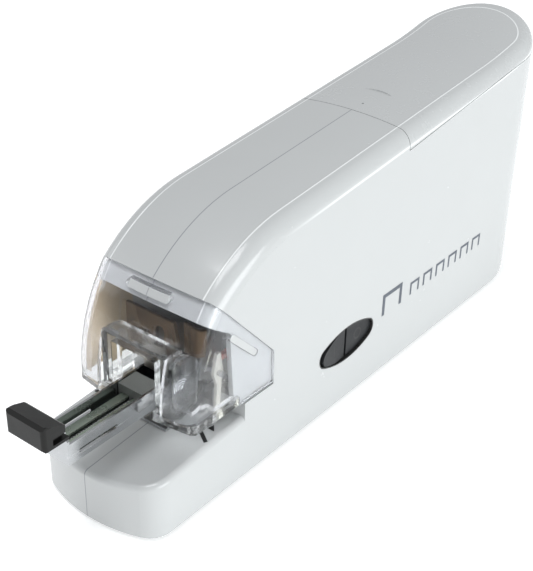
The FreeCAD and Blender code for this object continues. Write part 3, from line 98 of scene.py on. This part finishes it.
def add_studio():
    scene = bpy.context.scene
    scene.view_settings.view_transform = "Standard"
    scene.view_settings.look = "None"
    world = bpy.data.worlds.new("studio")
    world.use_nodes = True
    sky = world.node_tree.nodes["Background"]
    sky.inputs["Color"].default_value = (0.97, 0.985, 1.0, 1)
    sky.inputs["Strength"].default_value = 0.60
    scene.world = world
    add_lamp("key", place=(1.3, -0.05, 0.32), target=(0, 0.02, 0.05), size=(1.2, 0.6),
             energy=12.5, colour=(0.965, 0.995, 1.0))
    add_lamp("front", place=(-0.1, -1.1, 0.5), target=(0, 0, 0.05), size=(0.9, 0.4),
             energy=0.05, colour=(0.80, 0.88, 1.0))
    add_lamp("top", place=(-0.12, -0.28, 1.15), target=(0, -0.09, 0.03), size=(0.5, 0.5),
             energy=4.9, colour=(0.975, 0.985, 1.0))
    add_lamp("left", place=(-0.8, -0.45, 0.40), target=(0, -0.09, 0.03), size=(0.6, 0.4),
             energy=0.9, colour=(0.97, 0.97, 1.0))
    add_floor(scene)


def add_floor(scene):
    """Pale paper floor with a faint glow of its own, so that it stays white away from the lamps."""
    bm = bmesh.new()
    bmesh.ops.create_grid(bm, x_segments=1, y_segments=1, size=3.0)
    mesh = bpy.data.meshes.new("floor")
    bm.to_mesh(mesh)
    bm.free()
    floor = bpy.data.objects.new("floor", mesh)
    scene.collection.objects.link(floor)
    paper = surface("floor_paper", (0.96, 0.965, 0.965), rough=(0.7, 0.8), grain=(900, 0.05), tone=0.01)
    glow = paper.node_tree.nodes["Principled BSDF"].inputs
    glow["Emission Color"].default_value = (1, 1, 1, 1)
    glow["Emission Strength"].default_value = 0.34
    mesh.materials.append(paper)


# ---- materials -----------------------------------------------------------------------
class Nodes:
    """Short names for building a node tree."""

    def __init__(self, name):
        self.material = bpy.data.materials.new(name)
        self.material.use_nodes = True
        self.tree = self.material.node_tree
        self.shader = self.tree.nodes["Principled BSDF"]
        self.place = self.new("ShaderNodeTexCoord").outputs["Object"]

    def new(self, kind, **settings):
        node = self.tree.nodes.new(kind)
        for key, value in settings.items():
            setattr(node, key, value)
        return node

    def feed(self, socket, value):
        if isinstance(value, bpy.types.NodeSocket):
            self.tree.links.new(value, socket)
        else:
            socket.default_value = value

    def math(self, operation, *values):
        node = self.new("ShaderNodeMath", operation=operation)
        for socket, value in zip(node.inputs, values):
            self.feed(socket, value)
        return node.outputs[0]

    def axis(self, name):
        """Object coordinate along one axis, in metres."""
        split = self.new("ShaderNodeSeparateXYZ")
        self.feed(split.inputs[0], self.place)
        return split.outputs[name]

    def noise(self, scale, detail=4.0, stretch=(1, 1, 1), rough=0.55):
        mapping = self.new("ShaderNodeMapping")
        self.feed(mapping.inputs["Vector"], self.place)
        mapping.inputs["Scale"].default_value = stretch
        node = self.new("ShaderNodeTexNoise")
        self.feed(node.inputs["Vector"], mapping.outputs[0])
        node.inputs["Scale"].default_value = scale
        node.inputs["Detail"].default_value = detail
        node.inputs["Roughness"].default_value = rough
        return node.outputs["Fac"]

    def ramp(self, value, low, high, out_low=0.0, out_high=1.0):
        node = self.new("ShaderNodeMapRange")
        node.clamp = True
        self.feed(node.inputs["Value"], value)
        node.inputs["From Min"].default_value = low
        node.inputs["From Max"].default_value = high
        node.inputs["To Min"].default_value = out_low
        node.inputs["To Max"].default_value = out_high
        return node.outputs[0]

    def mix(self, factor, first, second):
        node = self.new("ShaderNodeMix", data_type="RGBA")
        self.feed(node.inputs[0], factor)
        self.feed(node.inputs[6], first)
        self.feed(node.inputs[7], second)
        return node.outputs[2]

    def bump(self, height, strength, distance, before=None):
        node = self.new("ShaderNodeBump")
        self.feed(node.inputs["Height"], height)
        node.inputs["Strength"].default_value = strength
        node.inputs["Distance"].default_value = distance
        if before is not None:
            self.feed(node.inputs["Normal"], before)
        return node.outputs[0]


def rgba(colour):
    return (*colour, 1.0)


def surface(name, colour, rough=(0.3, 0.4), grain=(2500, 0.15), metallic=0.0, tone=0.06,
            brushed=None, scratches=0.0, coat=0.0, dust=0.0, clear=0.0, ior=None, alpha=None, extra=None):
    """A moulded, pressed or machined finish: tone drift, roughness patches, grain, wear."""
    n = Nodes(name)
    sockets = n.shader.inputs
    patches = n.noise(55, 3)
    darker = tuple(c * (1 - tone) for c in colour)
    lighter = tuple(min(1.0, c * (1 + tone * 0.5)) for c in colour)
    shade = n.mix(n.ramp(patches, 0.35, 0.65), rgba(darker), rgba(lighter))
    handling = n.noise(140, 5, rough=0.7)
    gloss = n.ramp(handling, 0.3, 0.75, rough[0], rough[1])
    stretch = brushed or (1, 1, 1)
    fine = n.noise(grain[0], 3, stretch)
    normal = n.bump(fine, grain[1], 0.00004)
    if scratches:
        lines = n.noise(420, 2, (1, 0.04, 1), 0.4)
        marks = n.ramp(lines, 0.66, 0.72)
        bright = tuple(min(1.0, c * 1.5 + 0.05) for c in colour)
        shade = n.mix(n.math("MULTIPLY", marks, scratches), shade, rgba(bright))
        gloss = n.math("ADD", gloss, n.math("MULTIPLY", marks, 0.15))
        normal = n.bump(marks, 0.12, 0.00002, normal)
    if dust:
        film = n.ramp(n.noise(85, 6, rough=0.75), 0.55, 0.8, 0.0, dust)
        shade = n.mix(film, shade, rgba((0.62, 0.60, 0.56)))
        gloss = n.math("ADD", gloss, n.math("MULTIPLY", film, 0.5))
    if extra:
        shade, gloss, normal = extra(n, shade, gloss, normal)
    n.feed(sockets["Base Color"], shade)
    n.feed(sockets["Roughness"], gloss)
    n.feed(sockets["Normal"], normal)
    sockets["Metallic"].default_value = metallic
    if coat:
        sockets["Coat Weight"].default_value = coat
        sockets["Coat Roughness"].default_value = 0.08
    if clear:
        sockets["Transmission Weight"].default_value = clear
    if ior:
        sockets["IOR"].default_value = ior
    if alpha:
        sockets["Alpha"].default_value = alpha
    return n.material


# The top face, in metres: flat across to TOP_FACE_HALF, straight along, then curving up and round.
TOP_FACE_HALF = 0.0192
REAR_START, REAR_SQUEEZE = 0.1055, 1.2       # y where the rear end turns, and how much tighter than round
ROOF_SLOPE, ROOF_HEIGHT = 0.101, 0.09309     # rise per metre, and height at y = 0
CURVE_START, CURVE_RATE = 0.0835, 2.717      # y where the roof starts to rise, and how fast
CORNER_DROP = 0.0056                         # from the roof down to the end of the rounded corner
# colour of the painted highlights along the creases
CREASE_HIGHLIGHT_WHITE = (0.82, 0.84, 0.84)
SEAM_GREY = (0.20, 0.21, 0.23)


def crease_painted_highlight(n, shade, gloss, normal):
    """Painted highlights: a crisp light line round the top face, and a soft one where the corner runs into
    the side; the top line is also bumped.
    """
    behind = n.math("MAXIMUM", n.math("SUBTRACT", n.axis("Y"), REAR_START), 0.0)
    behind = n.math("MULTIPLY", behind, REAR_SQUEEZE)
    across = n.math("ABSOLUTE", n.axis("X"))
    from_middle = n.math("SQRT", n.math("ADD", n.math("POWER", across, 2.0), n.math("POWER", behind, 2.0)))
    off = n.math("ABSOLUTE", n.math("SUBTRACT", from_middle, TOP_FACE_HALF))
    top_line = n.math("MULTIPLY", n.ramp(off, 0.00012, 0.00042, 1.0, 0.0), n.ramp(n.axis("Z"), 0.062, 0.064))
    curved = n.math("MAXIMUM", n.math("SUBTRACT", n.axis("Y"), CURVE_START), 0.0)
    rise = n.math("MULTIPLY", n.math("POWER", curved, 2.0), CURVE_RATE)
    straight = n.math("ADD", n.math("MULTIPLY", n.axis("Y"), ROOF_SLOPE), ROOF_HEIGHT)
    roof = n.math("ADD", straight, rise)
    below = n.math("ABSOLUTE", n.math("SUBTRACT", n.math("SUBTRACT", roof, n.axis("Z")), CORNER_DROP))
    past_nose = n.ramp(n.axis("Y"), -0.045, -0.015)
    side_highlight = n.math("MULTIPLY", n.ramp(below, 0.0001, 0.0007, 1.0, 0.0), past_nose)
    lines = n.math("MAXIMUM", top_line, n.math("MULTIPLY", side_highlight, 0.8))
    # both lines painted lighter, as painted highlights on the crease edges
    shade = n.mix(n.math("MULTIPLY", lines, 0.8), shade, rgba(CREASE_HIGHLIGHT_WHITE))
    return shade, gloss, n.bump(top_line, 0.5, 0.0003, normal)


def seam(n, shade, gloss, normal):
    """Fine joint line where the two housing halves meet, over the painted crease highlights."""
    shade, gloss, normal = crease_painted_highlight(n, shade, gloss, normal)
    off = n.math("ABSOLUTE", n.axis("X"))
    line = n.ramp(off, 0.00010, 0.00026, 1.0, 0.0)
    shade = n.mix(n.math("MULTIPLY", line, 0.8), shade, rgba(SEAM_GREY))
    return shade, gloss, n.bump(line, -0.6, 0.0002, normal)


# tones of the painted warm shade on the white cheek
CHEEK_SHADE_DARK, CHEEK_SHADE_LIGHT = (0.50, 0.395, 0.27), (0.56, 0.45, 0.315)


def left_housing(n, shade, gloss, normal):
    """The left half also gets a painted warm shade on its white cheek inside the hood."""
    inside = n.math("MULTIPLY", n.ramp(n.axis("Y"), -0.0645, -0.0640, 1.0, 0.0),
                    n.ramp(n.axis("Z"), 0.034, 0.0345))
    warm_shade = n.mix(n.ramp(n.noise(60, 2), 0.3, 0.7), rgba(CHEEK_SHADE_DARK), rgba(CHEEK_SHADE_LIGHT))
    slope = n.math("ADD", n.axis("Z"), n.math("MULTIPLY", n.axis("Y"), 0.6))
    below_lip = n.ramp(slope, 0.0185, 0.0190, 1.0, 0.0)
    # painted warm shade mixed in on the cheek below the hood's lip
    shade = n.mix(n.math("MULTIPLY", inside, below_lip), shade, warm_shade)
    return seam(n, shade, gloss, normal)


WHITE = (0.455, 0.467, 0.468)


def make_materials():
    """Every finish: colour, roughness from and to, grain scale and depth, then metal share and extras."""
    made = {}

    def add(name, *values, **options):
        made[name] = surface(name, *values, **options)

    add("rubber", (0.035, 0.035, 0.036), (0.7, 0.9), (1800, 0.5), dust=0.25)
    add("zinc", (0.66, 0.67, 0.68), (0.22, 0.36), (3000, 0.1), 1.0, scratches=0.3)
    add("steel_plate", (0.47, 0.48, 0.49), (0.28, 0.42), (1500, 0.25), 1.0, brushed=(1, 0.06, 1),
        scratches=0.4)
    add("shaft_steel", (0.58, 0.58, 0.59), (0.18, 0.3), (2600, 0.15), 1.0, brushed=(1, 0.2, 0.2))
    add("brass", (0.60, 0.44, 0.18), (0.25, 0.4), (2200, 0.15), 1.0, scratches=0.3)
    add("motor_steel", (0.55, 0.56, 0.57), (0.26, 0.38), (1500, 0.2), 1.0, brushed=(0.05, 1, 1))
    add("spring_steel", (0.45, 0.45, 0.46), (0.25, 0.4), (3000, 0.1), 1.0)
    add("nickel", (0.46, 0.47, 0.48), (0.12, 0.24), (1500, 0.05), 1.0, brushed=(1, 0.05, 1),
        scratches=0.35)
    add("anvil_steel", (0.44, 0.45, 0.46), (0.28, 0.4), (1800, 0.2), 1.0, brushed=(0.08, 1, 1),
        scratches=0.5)
    add("core_steel", (0.33, 0.38, 0.32), (0.22, 0.36), (1500, 0.15), 0.85, brushed=(1, 0.06, 1),
        scratches=0.3)
    add("pusher_plastic", (0.10, 0.105, 0.10), (0.4, 0.5), (1600, 0.3))
    # steel whose brown colour is a painted warm reflection
    add("bronze_steel", (0.095, 0.062, 0.035), (0.26, 0.42), (1300, 0.2), 0.9,
        brushed=(1, 1, 0.08), scratches=0.5)
    add("blade_steel", (0.33, 0.31, 0.28), (0.25, 0.4), (1500, 0.2), 1.0, brushed=(1, 1, 0.06),
        scratches=0.6)
    add("black_plastic", (0.008, 0.008, 0.0075), (0.28, 0.42), (2200, 0.3), dust=0.03, ior=1.32)
    add("cam_plastic", (0.07, 0.07, 0.075), (0.4, 0.5), (1800, 0.3))
    add("gear_plastic", (0.72, 0.72, 0.67), (0.35, 0.45), (1800, 0.2))
    add("sensor_plastic", (0.09, 0.095, 0.10), (0.4, 0.5), (2200, 0.3))
    add("lever_plastic", (0.62, 0.61, 0.55), (0.35, 0.5), (1800, 0.2))
    add("red_plastic", (0.50, 0.035, 0.02), (0.3, 0.4), (1800, 0.2))
    add("switch_black", (0.030, 0.030, 0.029), (0.22, 0.32), (2200, 0.2))
    add("rocker_black", (0.015, 0.016, 0.018), (0.40, 0.50), (2200, 0.2), tone=0.1, ior=1.32)
    add("tray_plastic", (0.05, 0.05, 0.052), (0.4, 0.55), (1800, 0.3))
    add("cell_wrap", (0.42, 0.29, 0.06), (0.2, 0.32), (1200, 0.1), 0.3)
    add("board_green", (0.04, 0.16, 0.075), (0.25, 0.4), (700, 0.3))
    add("board_black", (0.04, 0.04, 0.042), (0.4, 0.55), (2000, 0.3))
    # the white extras paint highlights along the creases, and a warm shade on the left cheek
    add("white_right", WHITE, (0.22, 0.28), (5200, 0.02), tone=0.006, coat=0.3, extra=seam)
    add("white_left", WHITE, (0.22, 0.28), (5200, 0.02), tone=0.006, coat=0.3, extra=left_housing)
    add("white_door", WHITE, (0.23, 0.30), (5200, 0.02), tone=0.006, coat=0.3, extra=crease_painted_highlight)
    add("clear_hood", (0.845, 0.85, 0.875), (0.005, 0.03), (260, 0.02), tone=0.01, clear=1.0,
        ior=1.25, alpha=0.85, coat=0.3)
    add("clear_guard", (0.97, 0.985, 0.985), (0.0, 0.02), (220, 0.03), tone=0.01, clear=1.0,
        ior=1.34, alpha=0.9, coat=0.2)
    add("gate_mark", (0.86, 0.88, 0.90), (0.15, 0.25), (2200, 0.1))
    add("ink_black", (0.012, 0.012, 0.013), (0.45, 0.6), (2500, 0.3))
    add("ink_slate", (0.085, 0.10, 0.125), (0.4, 0.55), (2500, 0.2), tone=0.15)
    special = {"housing_right": "white_right", "housing_left": "white_left", "battery_door": "white_door"}
    slots = {s["node"]: s["material_slot"] for s in frame["record"]["subparts"]}
    for node, piece in frame["nodes"].items():
        key = special.get(node, slots[node])
        piece.data.materials.clear()
        piece.data.materials.append(made[key])
    for node in ("front_cover", "paper_guard"):      # lamp light goes through the clear plastics
        frame["nodes"][node].visible_shadow = False
    return made


# ---- pieces made here ----------------------------------------------------------------
def new_piece(name, bm, material, body):
    """Turn a bmesh into an object that rides on a body."""
    mesh = bpy.data.meshes.new(name)
    bm.to_mesh(mesh)
    bm.free()
    mesh.materials.append(material)
    piece = bpy.data.objects.new(name, mesh)
    bpy.context.scene.collection.objects.link(piece)
    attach(piece, body)
    return piece


def surface_tree(*nodes):
    """Ray-casting tree over some CAD nodes."""
    points, faces = [], []
    for node in nodes:
        mesh = frame["nodes"][node].data
        base = len(points)
        points += [v.co.copy() for v in mesh.vertices]
        faces += [[base + i for i in p.vertices] for p in mesh.polygons]
    return BVHTree.FromPolygons(points, faces)


def printed(name, outlines, lay, tree, body, material, raised=0.00004):
    """Flat printed shapes laid on a surface.  lay turns a 2-D point into a ray onto it."""
    bm = bmesh.new()
    for outline in outlines:
        corners = [bm.verts.new((u, v, 0)) for u, v in outline]
        bm.faces.new(corners)
    bmesh.ops.triangulate(bm, faces=bm.faces[:])
    for _ in range(3):
        long_edges = [e for e in bm.edges if e.calc_length() > 1.0]
        if not long_edges:
            break
        bmesh.ops.subdivide_edges(bm, edges=long_edges, cuts=1)
        bmesh.ops.triangulate(bm, faces=bm.faces[:])
    for vert in bm.verts:
        start, way = lay(vert.co.x, vert.co.y)
        hit = tree.ray_cast(start, way)[0]
        vert.co = hit - way * raised
    return new_piece(name, bm, material, body)


def bar(u0, v0, u1, v1, width):
    """Four corners of a straight bar between two points."""
    run = math.hypot(u1 - u0, v1 - v0)
    du, dv = (v1 - v0) / run * width / 2, -(u1 - u0) / run * width / 2
    return [(u0 + du, v0 + dv), (u1 + du, v1 + dv), (u1 - du, v1 - dv), (u0 - du, v0 - dv)]


def add_guide_marks(made):
    """Two slanting bars and two triangles on the base, for lining up the paper."""
    tree = surface_tree("housing_left", "housing_right")

    def lay(x, s):
        return at(x, s, 29.5), Vector((0, 0, -1))

    outlines = [bar(17.5, 1.2, 22.7, -2.4, 1.3), bar(-18.6, -2.2, -23.3, -5.4, 1.3)]
    for side in (-1, 1):
        outlines.append([(side * 18.2, 3.6), (side * 18.9, 6.0), (side * 21.3, 3.2)])
    printed("guide_marks", outlines, lay, tree, "housing", made["ink_black"])


def arc(u, v, radius, width, start, end, parts=12):
    """Part of a ring as a list of quads, angles in degrees."""
    quads = []
    for i in range(parts):
        a = math.radians(start + (end - start) * i / parts)
        b = math.radians(start + (end - start) * (i + 1) / parts)
        inner, outer = radius - width / 2, radius + width / 2
        quads.append([(u + inner * math.cos(a), v + inner * math.sin(a)),
                      (u + outer * math.cos(a), v + outer * math.sin(a)),
                      (u + outer * math.cos(b), v + outer * math.sin(b)),
                      (u + inner * math.cos(b), v + inner * math.sin(b))])
    return quads


def from_the_right(s, z):
    """Ray onto the right side at s and z."""
    return at(30, s, z), Vector((-1, 0, 0))


def add_switch_marks(made):
    """A bar for on and a ring for off."""
    tree = surface_tree("switch_rocker")
    outlines = [bar(63.0, 22.9, 63.0, 27.1, 0.7)] + arc(78.4, 25.0, 2.0, 0.65, 0, 360, parts=28)
    printed("switch_marks", outlines, from_the_right, tree, "rocker", made["ink_black"])


def staple_outline(s, z, width, height, line):
    """Inverted U as three bars."""
    half = width / 2 - line / 2
    return [bar(s - width / 2, z + height - line / 2, s + width / 2, z + height - line / 2, line),
            bar(s - half, z, s - half, z + height - line, line),
            bar(s + half, z, s + half, z + height - line, line)]


def add_side_print(made):
    """Generic row of staples printed on the side."""
    tree = surface_tree("housing_right")
    outlines = staple_outline(99, 25.5, 13.0, 9.0, 1.7)
    for i in range(6):
        outlines += staple_outline(114.5 + 9.2 * i, 26.0, 6.4, 5.4, 1.1)
    printed("side_print", outlines, from_the_right, tree, "housing", made["ink_slate"])


def add_gate_marks(made):
    """Ripples left by moulding on the portal's right cheek."""
    tree = surface_tree("paper_guard")
    middle = (-4.8, 42.8)
    outlines = arc(*middle, 0.45, 0.3, 0, 360)
    for radius in (1.2, 2.0, 2.8):
        outlines += arc(*middle, radius, 0.24, 40, 200)
    printed("gate_marks", outlines, from_the_right, tree, "housing", made["gate_mark"])


def add_guide_bracket(made):
    """Bent steel strip beside the driver plate, its brown a painted warm reflection: flat front, edge curled
    back, rounded top.
    """
    front, thick = 1.5, 0.9
    left, bend, radius = 10.9, 14.5, 3.0
    bottom, top, fall = 50.5, 61.5, 0.10
    outer, inner = [(left, front)], [(left, front + thick)]
    for i in range(9):
        turn = math.radians(90 * i / 8)
        side, depth = math.sin(turn), math.cos(turn)
        outer.append((bend + radius * side, front + radius - radius * depth))
        inner.append((bend + (radius - thick) * side, front + radius - (radius - thick) * depth))
    profile = outer + inner[::-1]
    bm = bmesh.new()
    low = [bm.verts.new(at(x, s, bottom)) for x, s in profile]
    high = [bm.verts.new(at(x, s, top - fall * (x - left) ** 1.5)) for x, s in profile]
    count = len(profile)
    for i in range(count):
        j = (i + 1) % count
        bm.faces.new((low[i], low[j], high[j], high[i]))
    bm.faces.new(low[::-1])
    bm.faces.new(high)
    bmesh.ops.recalc_face_normals(bm, faces=bm.faces[:])
    new_piece("guide_bracket", bm, made["bronze_steel"], "housing")


# node, body, joint that presses it, axis, anchor at the fixed end, and share of its length kept at the limit
SPRINGS = (
    ("lift_spring", "housing", "cam_spin", (0, 0, 1), (0, -0.0065, 0.0037), 0.89),
    ("arm_spring", "head", "cam_spin", (0, 0, 1), (0, -0.0515, 0.0404), 0.15),
    ("pusher_spring", "magazine", "pusher_slide", (0, 1, 0), (0, -0.1164, 0.0338), 0.065),
)


def add_springs():
    """Copies of the springs that ride on their bodies in place of the rigid parts."""
    for node, body, joint, axis, anchor, keep in SPRINGS:
        rigid = frame["nodes"][node]
        piece = bpy.data.objects.new(node + "_soft", rigid.data.copy())
        bpy.context.scene.collection.objects.link(piece)
        piece.matrix_world = rigid.matrix_world.copy()
        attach(piece, body)
        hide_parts(node)
        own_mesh(piece)


add_camera()
made = make_materials()
add_studio()
add_guide_marks(made)
add_switch_marks(made)
add_side_print(made)
add_gate_marks(made)
add_guide_bracket(made)
add_springs()
